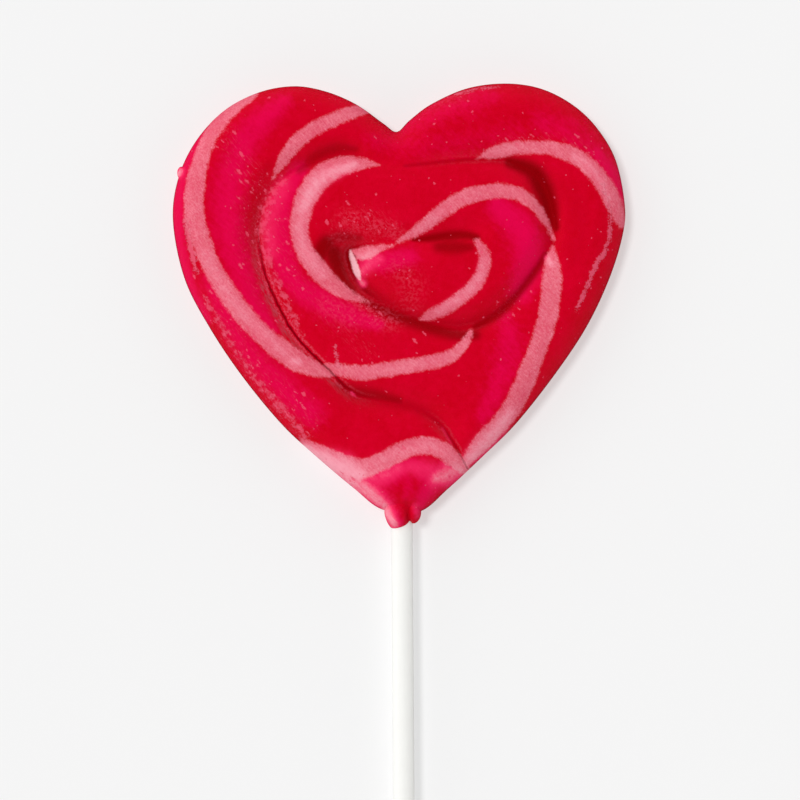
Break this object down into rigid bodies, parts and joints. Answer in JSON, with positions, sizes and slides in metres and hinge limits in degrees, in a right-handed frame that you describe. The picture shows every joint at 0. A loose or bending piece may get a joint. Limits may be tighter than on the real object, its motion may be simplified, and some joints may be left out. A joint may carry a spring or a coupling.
{
  "type": "swirl lollipop",
  "caption": "Heart-shaped swirl lollipop of one coiled rope of boiled sugar on a round paper stick, lying on its flat back.",
  "frame": {"origin": "on the head's flat back, under the middle of the heart", "axes": "+Z out of the swirl face, the stick runs towards -Y, +X to the right as seen from the face"},
  "size_m": [0.0802, 0.1937, 0.0107],
  "materials": {
    "candy": "boiled sugar, red and magenta with pale pink stripes, soft gloss",
    "stick": "white rolled paper, satin"
  },
  "bodies": {
    "root": {"candy": "candy", "stick": "stick"}
  },
  "joints": []
}
